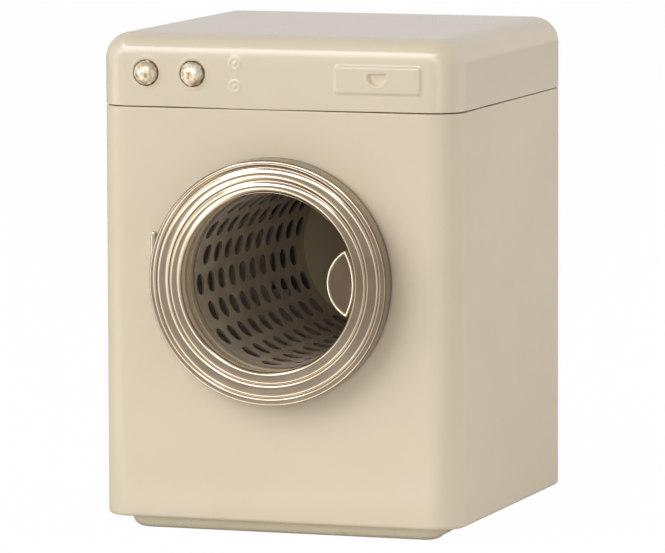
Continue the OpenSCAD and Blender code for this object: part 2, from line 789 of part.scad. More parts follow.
// The stepped axle, riveted through the back of the drum
module drum_axle() {
    ball = (axle_head_r * axle_head_r + axle_head_h * axle_head_h) / (2 * axle_head_h);
    color(steel) port_frame() rotate([180, 0, 0]) {
        translate([0, 0, disc_at - seat - axle_head_h]) intersection() {
            translate([0, 0, ball]) sphere(ball);
            cylinder(r = axle_head_r, h = axle_head_h);
        }
        translate([0, 0, disc_at - seat - eps]) cylinder(r = axle_r, h = clip_at - disc_at + seat + eps);
        translate([0, 0, disc_at + drum_sheet + seat])
            cylinder(r = shoulder_r, h = shoulder_end - disc_at - drum_sheet - seat);
        translate([0, 0, clip_at - eps]) cylinder(r = axle_r - clip_groove, h = clip_t + 2 * eps);
        translate([0, 0, clip_at + clip_t]) cylinder(r = axle_r, h = axle_end - clip_at - clip_t);
    }
}

// The plate that stiffens the back of the drum round the axle
module hub_plate() {
    color(steel) port_frame() rotate([180, 0, 0]) difference() {
        translate([0, 0, disc_at + drum_sheet + seat]) cylinder(r = hub_plate_r, h = hub_plate_t);
        translate([0, 0, disc_at]) cylinder(r = shoulder_r + seat, h = drum_sheet + hub_plate_t + past);
    }
}

// The clip that keeps the axle in the bush
module axle_clip() {
    color(steel) port_frame() rotate([180, 0, 0]) difference() {
        translate([0, 0, clip_at + seat]) cylinder(r = axle_r + clip_reach, h = clip_t - 2 * seat);
        cylinder(r = axle_r - clip_groove + seat, h = axle_end);
        translate([0, -clip_slot / 2, clip_at]) cube([axle_r + clip_reach + past, clip_slot, clip_t]);
    }
}

// A turning knob: a dome on a shank that passes the lid's front wall
module knob(x) {
    r = knob_d / 2;
    ball = (r * r + knob_proud * knob_proud) / (2 * knob_proud);
    color(champagne) front_frame(x, seam_z + knob_z) {
        translate([0, 0, run]) intersection() {
            translate([0, 0, knob_proud - ball]) sphere(ball);
            cylinder(r = r, h = knob_proud);
        }
        translate([0, 0, -knob_tail]) cylinder(d = knob_shank_d, h = knob_tail + 2 * run);
    }
}

// The push nut that keeps a knob's shank in the lid
module knob_nut(x) {
    color(steel) front_frame(x, seam_z + knob_z) translate([0, 0, -sheet - run - knob_nut_t]) difference() {
        cylinder(d = knob_nut_d, h = knob_nut_t);
        translate([0, 0, -past]) cylinder(d = knob_shank_d + 2 * seat, h = knob_nut_t + 2 * past);
    }
}

module outer_knob() { knob(-knob_outer_x); }
module outer_knob_nut() { knob_nut(-knob_outer_x); }
module inner_knob() { knob(-knob_inner_x); }
module inner_knob_nut() { knob_nut(-knob_inner_x); }

cabinet_shell();
base_pan();
neck_band();
lid_shell();
port_collar();
cabinet_hinge_leaf();
hinge_pin();
drum_bracket();
bearing_bush();
door_ring();
door_backing();
door_window();
finger_pull();
door_hinge_leaf();
door_rivets();
door_magnet();
drum_shell();
drum_back();
drum_axle();
hub_plate();
axle_clip();
outer_knob();
outer_knob_nut();
inner_knob();
inner_knob_nut();
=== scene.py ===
import math

import bmesh
import bpy
import numpy as np
from mathutils import Matrix, Vector, noise


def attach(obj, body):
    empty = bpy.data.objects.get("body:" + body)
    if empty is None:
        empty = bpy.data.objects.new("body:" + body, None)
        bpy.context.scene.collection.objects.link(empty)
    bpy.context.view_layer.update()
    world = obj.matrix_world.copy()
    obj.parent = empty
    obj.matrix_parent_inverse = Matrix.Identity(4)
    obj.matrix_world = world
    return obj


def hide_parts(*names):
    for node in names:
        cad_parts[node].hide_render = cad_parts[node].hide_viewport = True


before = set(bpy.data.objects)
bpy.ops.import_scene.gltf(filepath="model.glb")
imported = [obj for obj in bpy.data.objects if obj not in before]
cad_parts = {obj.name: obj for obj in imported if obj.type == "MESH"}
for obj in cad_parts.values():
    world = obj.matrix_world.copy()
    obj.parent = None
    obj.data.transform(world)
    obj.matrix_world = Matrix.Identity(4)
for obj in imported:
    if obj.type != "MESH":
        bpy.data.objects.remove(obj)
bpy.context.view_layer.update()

MM = 0.001

# Sizes that the solids have too, in millimetres. Heights on the lid are above the seam.
BODY_W = 85.0
BODY_D = 84.0
FRONT = -BODY_D / 2  # the front wall's outer face
CORNER = 7.0
SHEET = 0.6
PLINTH_H = 3.2
PLINTH_R = 5.5
PLINTH_RIM = 1.8
PAN_W = 75.8
PAN_D = 74.8
SEAM_Z = 96.5
SEAM_GAP = 0.25
LID_H = 16.5
LID_TOP_R = 5.8
DRAWER_RISE = 0.6
RECESS_DEPTH = 0.9
KNOB_X = {"outer_knob": -30.8, "inner_knob": -19.7}
KNOB_Z = 7.8
KNOB_D = 6.0
KNOB_PROUD = 2.5
SHANK_D = 2.0
SHANK_TAIL = 1.55  # how far the shank reaches behind the front
BUTTON_X = -9.6
BUTTON_Z = (5.2, 10.3)
BUTTON_D = 2.6
PORT_Z = 58.4  # the axis of the port, the ring and the drum
RING_IR = 20.2
RING_OR = 27.7
RING_PROUD = 6.9
RING_SHEET = 0.5
BEAD_H = 0.6
GROUND_T = RING_PROUD - BEAD_H  # the bottom of the grooves, in front of the wall
DOOR_BACK = 0.75  # the door's back, in front of the wall
DRUM_INNER_R = 19.6
PULL_R = 8.4
PULL_SIDE_R = 15.1
PULL_REACH = 6.2
PULL_TOP = 5.5  # the pull's front, in front of the wall
PULL_T = 1.2
PULL_DISH = 0.5
PULL_RIM = 0.35
PULL_FOOT_W = 2.0
PULL_FOOT_H = 6.0
PULL_FOOT_T = 0.9
SEAT = 0.05

# Sizes that only the looks have, in millimetres, where a pressed form differs from the plain solid
DRAWER_X = 24.2
DRAWER_Z = 7.25
DRAWER_W = 21.1
DRAWER_H = 7.1
DRAWER_R = 1.3
DRAWER_BEVEL = 1.0
RECESS_W = 5.1
RECESS_H = 3.2
GROOVES = (20.4, 23.12, 26.12, 27.95)  # radii of the low places beside the beads
BORE_BACK = 3.3  # where the ring's sheet ends in the bore, in front of the wall
DRAWN_ASIDE = 0.14  # how far the ring's front is drawn to the free side
DRAWN_WIDE = 0.01  # share by which it is wider
DRAWN_LOW = 0.004  # share by which it is lower
PULL_TURN = 0.8  # degrees
PAN_EDGE_R = 2.5
PAN_LEAN = 4.6


# Colours


def srgb(r, g, b):
    """A colour as it is read off a screen, as Blender's linear numbers."""
    def one(c):
        c /= 255.0
        return c / 12.92 if c <= 0.04045 else ((c + 0.055) / 1.055) ** 2.4
    return (one(r), one(g), one(b), 1.0)


def tinted(value, tint):
    """A grey of that brightness in a tint."""
    return (value * tint[0], value * tint[1], value * tint[2], 1)


CREAM_LIGHT = srgb(224, 212, 189)
CREAM_DARK = srgb(220, 208, 185)
# Pairs of colours between which a pattern runs
# Painted light: pale colours for the cabinet's inside, which bounce light into the drum
INSIDE_PAINTED_LIGHT = (srgb(226, 212, 198), srgb(240, 228, 214))
# Painted shade of the ring: a darker film for its grooves, its outer edge and its free side
RING_PAINTED_SHADE = (srgb(128, 112, 92), srgb(140, 124, 102))
# Painted shade for the knobs' edges
KNOB_EDGE_SHADE = (srgb(84, 66, 48), srgb(104, 84, 62))


# Node helpers

# Numbers of the Mix node's sockets for colours
MIX_A = 6
MIX_B = 7
MIX_RESULT = 2


class Tree:
    """Adds nodes and links to one node tree."""

    def __init__(self, tree):
        self.tree = tree
        self.tree.nodes.clear()

    def add(self, kind, **props):
        """A new node with those properties."""
        node = self.tree.nodes.new(kind)
        for name, value in props.items():
            setattr(node, name, value)
        return node

    def join(self, a, b):
        self.tree.links.new(a, b)

    def feed(self, value, socket):
        """Sets a socket to a number or colour, or joins another socket to it."""
        if isinstance(value, (int, float, tuple)):
            socket.default_value = value
        else:
            self.join(value, socket)

    def math(self, op, a, b=None):
        """A Math node on numbers or sockets."""
        node = self.add("ShaderNodeMath", operation=op)
        self.feed(a, node.inputs[0])
        if b is not None:
            self.feed(b, node.inputs[1])
        return node.outputs[0]

    def hypot(self, a, b):
        squares = self.math("ADD", self.math("MULTIPLY", a, a), self.math("MULTIPLY", b, b))
        return self.math("SQRT", squares)

    def split(self, vector):
        node = self.add("ShaderNodeSeparateXYZ")
        self.join(vector, node.inputs[0])
        return node.outputs

    def ramp(self, fac, stops, ease=False):
        """A colour ramp over fac. Each stop is a place with a grey value or a colour."""
        node = self.add("ShaderNodeValToRGB")
        if ease:
            node.color_ramp.interpolation = "EASE"
        elements = node.color_ramp.elements
        while len(elements) < len(stops):
            elements.new(0.5)
        for element, (at, colour) in zip(elements, stops):
            element.position = at
            element.color = colour if hasattr(colour, "__len__") else (colour, colour, colour, 1)
        self.join(fac, node.inputs[0])
        return node.outputs[0]

    def mix(self, kind, fac, a, b):
        """Colours a and b in a Mix node. Kind MIX gives a where fac is 0 and b where it is 1."""
        node = self.add("ShaderNodeMix", data_type="RGBA", blend_type=kind)
        self.feed(fac, node.inputs[0])
        self.join(a, node.inputs[MIX_A])
        self.join(b, node.inputs[MIX_B])
        return node.outputs[MIX_RESULT]

    def shader_mix(self, fac, a, b):
        """Shader a where fac is 0 and b where it is 1."""
        node = self.add("ShaderNodeMixShader")
        self.feed(fac, node.inputs[0])
        self.join(a, node.inputs[1])
        self.join(b, node.inputs[2])
        return node.outputs[0]

    def glow(self, kind, colour, strength):
        """An Emission or Background shader."""
        node = self.add(kind)
        self.feed(colour, node.inputs[0])
        node.inputs[1].default_value = strength
        return node.outputs[0]


class Material(Tree):
    """The nodes of one material, with patterns for the sockets of its Principled shader."""

    def __init__(self, name):
        self.mat = bpy.data.materials.new(name)
        self.mat.use_nodes = True
        super().__init__(self.mat.node_tree)
        self.out = self.add("ShaderNodeOutputMaterial")
        self.bsdf = self.add("ShaderNodeBsdfPrincipled")
        self.show(self.bsdf.outputs[0])

    def show(self, shader):
        self.join(shader, self.out.inputs["Surface"])

    def set(self, **values):
        """Gives sockets of the shader, named with _ for a space, a plain value or a pattern."""
        for name, value in values.items():
            self.feed(value, self.bsdf.inputs[name.replace("_", " ")])

    def place(self):
        """The place on the object, in its own coordinates."""
        return self.add("ShaderNodeTexCoord").outputs["Object"]

    def parts(self):
        return self.split(self.place())

    def stretched(self, scale):
        node = self.add("ShaderNodeMapping")
        node.inputs["Scale"].default_value = scale
        self.join(self.place(), node.inputs["Vector"])
        return node.outputs[0]

    def noise(self, scale, detail=2.0, rough=0.5, source=None, kind="3D"):
        node = self.add("ShaderNodeTexNoise", noise_dimensions=kind)
        node.inputs["Scale"].default_value = scale
        node.inputs["Detail"].default_value = detail
        node.inputs["Roughness"].default_value = rough
        self.join(source or self.place(), node.inputs["W" if kind == "1D" else "Vector"])
        return node.outputs["Fac"]

    def between(self, fac, low, high):
        """A colour that follows a noise pattern from low to high."""
        return self.ramp(fac, [(0.3, low), (0.7, high)])

    def span(self, fac, lo, hi, at=(0.0, 1.0)):
        """Runs from lo to hi while fac goes from at[0] to at[1]."""
        node = self.add("ShaderNodeMapRange")
        node.inputs["From Min"].default_value = at[0]
        node.inputs["From Max"].default_value = at[1]
        node.inputs["To Min"].default_value = lo
        node.inputs["To Max"].default_value = hi
        self.join(fac, node.inputs["Value"])
        return node.outputs[0]

    def bump(self, height, distance, after=None):
        """A bump of that depth, on top of the bump in after."""
        node = self.add("ShaderNodeBump")
        node.inputs["Strength"].default_value = 1.0
        node.inputs["Distance"].default_value = distance
        self.join(height, node.inputs["Height"])
        if after is not None:
            self.join(after, node.inputs["Normal"])
        return node.outputs[0]

    def reach(self, value, half, room):
        """How far |value| lies past half - room, at least 0."""
        past = self.math("SUBTRACT", self.math("ABSOLUTE", value), half - room)
        return self.math("MAXIMUM", past, 0.0)


# Materials


def inside_walls(n):
    """1 at places inside the cabinet's walls and above the pan's rim, and 0 elsewhere."""
    x, y, z = n.parts()
    across = n.reach(x, BODY_W / 2 * MM, CORNER * MM)
    along = n.reach(y, BODY_D / 2 * MM, CORNER * MM)
    depth = n.math("SUBTRACT", n.hypot(across, along), (CORNER - SHEET / 2) * MM)
    over_rim = n.math("GREATER_THAN", z, (PLINTH_H + SHEET / 2) * MM)
    return n.math("MULTIPLY", n.math("LESS_THAN", depth, 0.0), over_rim)


def enamel(name, light, dark, rough=0.45, coat=0.3, inside=None):
    """Sprayed and baked enamel on tinplate: a faint orange peel, slow waves of the sheet under it, tiny
    specks and a little uneven gloss. With a pair of colours for the inside, the tin within the
    cabinet's walls is bare, in those colours."""
    n = Material(name)
    colour = n.between(n.noise(30, 3, 0.55), dark, light)
    if inside:
        colour = n.mix("MIX", inside_walls(n), colour, n.between(n.noise(140, 4, 0.6), *inside))
    gloss = n.span(n.noise(160, 4, 0.6), rough - 0.04, rough + 0.05, (0.3, 0.7))
    waves = n.bump(n.noise(24, 1, 0.4), 0.00012)
    peel = n.bump(n.noise(1500, 2, 0.5), 0.000005, waves)
    specks = n.bump(n.ramp(n.noise(700, 0, 0.5), [(0.74, 0.0), (0.8, 1.0)]), 0.00001, peel)
    n.set(Base_Color=colour, Roughness=gloss, Normal=specks, Coat_Normal=specks)
    n.set(IOR=1.28, Coat_Weight=coat, Coat_Roughness=0.1)
    return n.mat


def ring_painted_shade(n, clouds, colour, x, up, radius):
    """The ring's colour with painted shade: a darker film in the grooves, round the outer edge and all
    over the free side."""
    aside = n.math("DIVIDE", n.math("SUBTRACT", x, DRAWN_ASIDE * MM), 1 + DRAWN_WIDE)
    drawn = n.hypot(aside, up)
    to_grooves = [n.math("ABSOLUTE", n.math("SUBTRACT", drawn, r * MM)) for r in GROOVES[:3]]
    near = n.math("MINIMUM", n.math("MINIMUM", to_grooves[0], to_grooves[1]), to_grooves[2])
    on_beads = n.span(near, 0.0, 1.0, (0.00008, 0.00034))
    within = n.span(drawn, 1.0, 0.0, ((RING_OR - 0.25) * MM, (RING_OR - 0.02) * MM))
    # Painted shade: a darker film of the metal in the grooves and round the outer edge
    shade_film = n.between(clouds, *RING_PAINTED_SHADE)
    colour = n.mix("MIX", n.math("MINIMUM", on_beads, within), shade_film, colour)
    # Painted shade over the free side, whose crowns are made darker
    shaded_free_side = n.span(n.math("DIVIDE", x, radius), 0.1, 0.55, (0.72, 1.0))
    return n.mix("MIX", shaded_free_side, colour, shade_film)


def spun_metal(name, light, dark, rough, strength=1.0, stretch=0.0, with_shade=False):
    """Pressed and spun champagne metal: very fine rings round the port's axis, which stretch the
    gloss across themselves, and slow waves."""
    n = Material(name)
    n.set(Metallic=1.0)
    if stretch:
        round_axis = n.add("ShaderNodeTangent", direction_type="RADIAL", axis="Y")
        n.set(Anisotropic=stretch, Anisotropic_Rotation=0.25, Tangent=round_axis.outputs[0])
    x, y, z = n.parts()
    up = n.math("SUBTRACT", z, PORT_Z * MM)
    radius = n.hypot(x, up)
    rings = n.noise(7000, 3, 0.65, radius, "1D")
    clouds = n.noise(150, 3, 0.55)
    colour = n.between(clouds, dark, light)
    if with_shade:
        colour = ring_painted_shade(n, clouds, colour, x, up, radius)
    gloss = n.span(rings, rough - 0.04, rough + 0.06, (0.3, 0.7))
    waves = n.bump(n.noise(90, 2, 0.5), 0.000018 * strength)
    lines = n.bump(rings, 0.0000015 * strength, waves)
    grain = n.bump(n.noise(900, 3, 0.6), 0.0000015 * strength, lines)
    n.set(Base_Color=colour, Roughness=gloss, Normal=grain)
    return n.mat


def knob_metal(name):
    """Champagne metal that the press has left uneven, with dull patches and painted shade round its
    edge.
    """
    n = Material(name)
    patches = n.noise(520, 4, 0.65)
    metal = n.ramp(patches, [(0.38, srgb(172, 148, 116)), (0.5, srgb(220, 204, 176)),
                             (0.62, srgb(250, 242, 226))])
    x, y, z = n.parts()
    up = n.math("SUBTRACT", z, (SEAM_Z + KNOB_Z) * MM)
    outer, inner = [n.hypot(n.math("SUBTRACT", x, at * MM), up) for at in KNOB_X.values()]
    uneven = n.span(n.noise(900, 2, 0.5), -0.0004, 0.0004)
    radius = n.math("ADD", n.math("MINIMUM", outer, inner), uneven)
    # Painted shade in a ring round each knob's edge
    edge = n.span(radius, 0.0, 1.0, ((KNOB_D / 2 - 0.42) * MM, (KNOB_D / 2 - 0.2) * MM))
    n.set(Base_Color=n.mix("MIX", edge, metal, n.between(patches, *KNOB_EDGE_SHADE)),
          Metallic=n.span(patches, 0.45, 0.75, (0.36, 0.62)),
          Roughness=n.span(patches, 0.56, 0.4, (0.35, 0.65)),
          Normal=n.bump(n.noise(1100, 3, 0.6), 0.0001))
    return n.mat


def tin(name, light, dark, metallic, rough, cut_edge=None):
    """Plain rolled tinplate: drawn-out rolling marks and dull blotches. Where the drum's tin is
    punched, the cut edges of the holes are darker."""
    n = Material(name)
    blotch = n.noise(140, 4, 0.6)
    colour = n.between(blotch, dark, light)
    if cut_edge:
        x, y, z = n.parts()
        radius = n.hypot(x, n.math("SUBTRACT", z, PORT_Z * MM))
        cut = n.math("GREATER_THAN", radius, DRUM_INNER_R * MM + 0.00004)
        cut_darker = tuple(0.8 * c for c in cut_edge[:3]) + (1.0,)
        colour = n.mix("MIX", cut, colour, n.between(blotch, cut_edge, cut_darker))
    gloss = n.span(blotch, rough - 0.08, rough + 0.1, (0.3, 0.7))
    marks = n.noise(1.0, 3, 0.6, n.stretched((2600, 260, 2600)))
    n.set(Base_Color=colour, Metallic=metallic, Roughness=gloss, Normal=n.bump(marks, 0.000012))
    return n.mat


def clear(name):
    """Thin clear sheet: nearly all of what lies behind it, and a faint gloss with wiping marks."""
    n = Material(name)
    wiped = n.span(n.noise(160, 4, 0.6), 0.08, 0.16, (0.35, 0.75))
    n.set(Base_Color=(0.02, 0.02, 0.02, 1), Metallic=0.0, Roughness=wiped, IOR=1.3)
    through = n.add("ShaderNodeBsdfTransparent")
    through.inputs[0].default_value = (0.97, 0.975, 0.97, 1)
    n.show(n.shader_mix(0.94, n.bsdf.outputs[0], through.outputs[0]))
    return n.mat


CREAM = enamel("enamel", CREAM_LIGHT, CREAM_DARK, inside=INSIDE_PAINTED_LIGHT)
LID_CREAM = enamel("enamel_lid", CREAM_LIGHT, CREAM_DARK, coat=1.0)
# Painted light: a lighter copy of the cream, against the shade on the pan's rounded bottom edge
PAN_CREAM_PAINTED_LIGHT = enamel("enamel_pan_painted_light", srgb(242, 232, 208), srgb(236, 226, 202))
LINING = enamel("enamel_lining", srgb(222, 204, 174), srgb(212, 194, 165), rough=0.5)
# Painted light: a paler cream than the enamel, against the shade in the bore
BORE_PAINTED_LIGHT = enamel("enamel_bore_painted_light", srgb(238, 218, 190), srgb(228, 208, 180), rough=0.5)
DISC = enamel("drum_disc", srgb(208, 194, 162), srgb(192, 178, 146), rough=0.5)
RING = spun_metal("champagne_ring", srgb(200, 184, 163), srgb(186, 169, 148), rough=0.13,
                  strength=0.8, stretch=0.2, with_shade=True)
HINGE = spun_metal("champagne_metal", srgb(226, 214, 192), srgb(212, 198, 174), rough=0.3)
# Partly painted highlight: the rim's round edge mirrors the light, and its near-white colour adds a
# painted highlight
RIM_PAINTED_HIGHLIGHT = spun_metal("champagne_edge_highlight", srgb(250, 242, 224), srgb(244, 234, 212), rough=0.55, strength=0.5)
# Painted shade: the pull's plate is the ring's metal in a much darker colour, for the shade it lies in
PULL_PAINTED_SHADE = spun_metal("champagne_plate_shaded", srgb(122, 106, 90), srgb(110, 95, 80), rough=0.36, strength=0.5)
KNOB = knob_metal("champagne_crumpled")
# Painted light: the drum's tin is much paler than the real tin, for light inside the drum
DRUM_PAINTED_LIGHT = tin("drum_tin_painted_light", srgb(228, 212, 192), srgb(204, 188, 168), metallic=0.1, rough=0.5,
           cut_edge=srgb(150, 134, 124))
BARE = tin("dull_tin", srgb(96, 88, 78), srgb(78, 71, 63), metallic=0.5, rough=0.5)
STEEL = tin("bright_tin", srgb(178, 174, 166), srgb(150, 146, 138), metallic=0.95, rough=0.3)
BRASS = tin("brass", srgb(196, 164, 98), srgb(160, 130, 74), metallic=1.0, rough=0.3)
MAGNET = tin("magnet_grey", srgb(82, 82, 84), srgb(62, 62, 64), metallic=0.6, rough=0.55)
CLEAR = clear("clear_sheet")

for node, mat in {
    "cabinet_shell": CREAM, "base_pan": PAN_CREAM_PAINTED_LIGHT, "neck_band": BARE, "lid_shell": LID_CREAM,
    "port_collar": LINING, "cabinet_hinge_leaf": HINGE, "hinge_pin": HINGE, "drum_bracket": BARE,
    "bearing_bush": BRASS, "door_ring": RING, "door_backing": BORE_PAINTED_LIGHT, "door_window": CLEAR,
    "finger_pull": PULL_PAINTED_SHADE, "door_hinge_leaf": HINGE, "door_rivets": STEEL, "door_magnet": MAGNET,
    "drum_shell": DRUM_PAINTED_LIGHT, "drum_back": DISC, "drum_axle": STEEL, "hub_plate": STEEL,
    "axle_clip": STEEL, "outer_knob": KNOB, "outer_knob_nut": STEEL, "inner_knob": KNOB,
    "inner_knob_nut": STEEL,
}.items():
    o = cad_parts[node]
    if not o.material_slots:
        o.data.materials.append(mat)
    for s in o.material_slots:
        s.link = "OBJECT"
        s.material = mat


# Pieces


def mesh_piece(name, verts, faces, mats, body, second_from=None):
    """A smooth piece. Faces from number second_from on take the second material."""
    mesh = bpy.data.meshes.new(name)
    mesh.from_pydata([tuple(v) for v in verts], [], faces)
    for mat in mats:
        mesh.materials.append(mat)
    if second_from is not None:
        index = [0 if i < second_from else 1 for i in range(len(faces))]
        mesh.polygons.foreach_set("material_index", index)
    bm = bmesh.new()
    bm.from_mesh(mesh)
    bmesh.ops.recalc_face_normals(bm, faces=bm.faces)
    bm.to_mesh(mesh)
    bm.free()
    mesh.polygons.foreach_set("use_smooth", [True] * len(mesh.polygons))
    o = bpy.data.objects.new(name, mesh)
    bpy.context.scene.collection.objects.link(o)
    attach(o, body)
    return o


def grid_faces(rows, columns, closed_rows, closed_columns, start=0):
    """Quads between the points of a grid whose point (i, k) has number start + i * columns + k."""
    faces = []
    for i in range(rows if closed_rows else rows - 1):
        row = start + i * columns
        after = start + (i + 1) % rows * columns
        for k in range(columns if closed_columns else columns - 1):
            m = (k + 1) % columns
            faces.append((row + k, row + m, after + m, after + k))
    return faces


def arc(cx, cy, r, a0, a1, n):
    """Points of an arc in a flat profile, angles in degrees."""
    return [(cx + r * math.cos(math.radians(a0 + (a1 - a0) * i / n)),
             cy + r * math.sin(math.radians(a0 + (a1 - a0) * i / n))) for i in range(n + 1)]


def smooth_step(v):
    """0 below 0, 1 above 1, and a smooth rise between them."""
    v = np.clip(v, 0.0, 1.0)
    return v * v * (3 - 2 * v)


# The door ring

BORE_POINTS = 4  # the first points of the ring's section, which lie on the wall of the bore


def bead_height(r, height, flat):
    """How far the beads stand over the bottom of the grooves at radius r. The crowns are flatter
    where flat is more."""
    for low, high in zip(GROOVES, GROOVES[1:]):
        if low <= r <= high:
            u = abs(2 * r - low - high) / (high - low)
            return height * (1 - u ** flat)
    return 0.0


def ring_profile(angle):
    """The ring's closed section at an angle, as (radius, distance in front of the wall). The press
    left the crowns flatter at the bottom and at the free side, and the grooves deeper at the top."""
    flat = 3.5 + 1.2 * math.cos(angle) - 1.95 * math.sin(angle)
    above = max(0.0, math.sin(angle))
    height = BEAD_H * (0.84 - 0.08 * math.cos(angle) + 0.16 * math.sin(angle) + 0.4 * above ** 2)
    # Up the wall of the bore and round the bend at its front
    bend = 0.35
    points = [(RING_IR, BORE_BACK), (RING_IR, 4.4), (RING_IR, 5.4)]
    for degrees in (0, 15, 30, 45, 60):
        a = math.radians(degrees)
        points.append((RING_IR + bend * (1 - math.cos(a)), GROUND_T - bend + bend * math.sin(a)))
    # Over the beads, with the edges of the grooves softened
    steps = 180
    start = RING_IR + bend * 0.6
    end = RING_OR - 0.05
    blur = [0.05 * k for k in range(-5, 6)]
    for i in range(steps + 1):
        r = start + (end - start) * i / steps
        near = [bead_height(r + d, height, flat) for d in blur]
        points.append((r, RING_PROUD - 0.06 - height + sum(near) / len(near)))
    # Back along the outer wall, and then along the inner side of the sheet
    points += [(RING_OR, GROUND_T - 0.2), (RING_OR, GROUND_T - 0.5), (RING_OR, 5.2), (RING_OR, 2.5),
               (RING_OR, DOOR_BACK + 0.15), (RING_OR - 0.15, DOOR_BACK)]
    points += [(RING_OR - RING_SHEET, DOOR_BACK), (RING_OR - RING_SHEET, GROUND_T - RING_SHEET),
               (RING_IR + RING_SHEET, GROUND_T - RING_SHEET), (RING_IR + RING_SHEET, BORE_BACK)]
    return points


def ring_sway(x, z, t):
    """Where a point of the ring lies for real: the front of the pressing is drawn a little towards
    the free side and is a touch wider than high."""
    front = float(smooth_step((t - 3.5) / 2.5))
    return x + front * (DRAWN_ASIDE + DRAWN_WIDE * x), z - front * DRAWN_LOW * z


def door_ring():
    """The pressed ring with three beads, a little wavy, whose bore is enamelled."""
    steps = 720
    wave_height = 0.02
    verts = []
    for i in range(steps):
        a = 2 * math.pi * i / steps
        profile = ring_profile(a)
        for r, t in profile:
            wave = wave_height * noise.noise(Vector((2.2 * math.cos(a), 2.2 * math.sin(a), r * 0.7)))
            x, z = ring_sway(r * math.cos(a), r * math.sin(a), t)
            verts.append((x * MM, (FRONT - min(t + wave, RING_PROUD)) * MM, (PORT_Z + z) * MM))

    def in_bore(face):
        return face[0] % len(profile) < BORE_POINTS

    faces = sorted(grid_faces(steps, len(profile), True, True), key=in_bore)
    first_bore = len(faces) - sum(in_bore(face) for face in faces)
    o = mesh_piece("ring_pressed", verts, faces, [RING, BORE_PAINTED_LIGHT], "door", first_bore)
    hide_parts("door_ring")


door_ring()


# The finger pull


def lens(inset):
    """The pull's outline drawn in by inset: its inner edge from point to point, then the edge along
    the bore, in the plane of the door."""
    # Two circles with their middles at c1 and c2, which cross at the height half
    c1 = RING_IR - SEAT - PULL_REACH + PULL_R
    c2 = RING_IR - SEAT - PULL_SIDE_R
    r1 = PULL_R - inset
    r2 = PULL_SIDE_R - inset
    gap = c1 - c2
    x = (r2 * r2 - r1 * r1 + gap * gap) / (2 * gap)
    half = math.sqrt(max(r2 * r2 - x * x, 0.0))
    a1 = math.atan2(half, c2 + x - c1)
    a2 = math.atan2(half, x)
    n = 40
    points = []
    for i in range(n):
        a = a1 + (2 * math.pi - 2 * a1) * i / n
        points.append((c1 + r1 * math.cos(a), r1 * math.sin(a)))
    for i in range(n):
        a = -a2 + 2 * a2 * i / n
        points.append((c2 + r2 * math.cos(a), r2 * math.sin(a)))
    return points


def finger_pull():
    """The lens-shaped plate with its raised rim, whose brightness is partly a painted highlight, and
    the foot that holds it to the bore.
    """
    top = PULL_TOP
    face = PULL_TOP - PULL_DISH
    back = PULL_TOP - PULL_T
    plate = [(PULL_RIM, face + 0.06), (PULL_RIM + 0.1, face + 0.01), (PULL_RIM + 0.3, face),
             (1.2, face - 0.02), (2.2, face - 0.03)]
    rim = [(1.2, back), (0.12, back), (0.0, back + 0.12), (0.0, top - 0.12), (0.03, top - 0.04),
           (0.09, top), (0.24, top), (0.3, top - 0.05), (PULL_RIM, top - 0.16), (PULL_RIM, face + 0.06)]
    turn = math.radians(PULL_TURN)

    def turned(x, z, t):
        return ((x * math.cos(turn) - z * math.sin(turn)) * MM, (FRONT - t) * MM,
                (PORT_Z + x * math.sin(turn) + z * math.cos(turn)) * MM)

    verts = [turned(x, z, t) for inset, t in plate for x, z in lens(inset)]
    around = len(lens(0.0))
    faces = grid_faces(len(plate), around, False, True)
    faces.append(tuple(range((len(plate) - 1) * around, len(plate) * around)))
    first_bright = len(faces)
    # The rim, from the back of the plate round its edge to the dish
    start = len(verts)
    verts += [turned(x, z, t) for inset, t in rim for x, z in lens(inset)]
    faces += grid_faces(len(rim), around, False, True, start)
    faces.append(tuple(range(start, start + around)))
    # The foot behind the plate, which meets the bore with a blunt point
    start = len(verts)
    edge = RING_IR - 2 * SEAT
    half = PULL_FOOT_H / 2
    foot = [(edge - PULL_FOOT_W, -half), (edge - 0.25, -half), (edge, 0), (edge - 0.25, half),
            (edge - PULL_FOOT_W, half)]
    verts += [turned(x, z, t) for t in (back - PULL_FOOT_T, back) for x, z in foot]
    faces += grid_faces(2, len(foot), False, True, start)
    faces.append(tuple(range(start, start + len(foot))))
    faces.append(tuple(range(start + len(foot), start + 2 * len(foot))))
    o = mesh_piece("pull_plate", verts, faces, [PULL_PAINTED_SHADE, RIM_PAINTED_HIGHLIGHT], "door", first_bright)
    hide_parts("finger_pull")


finger_pull()


# The knobs


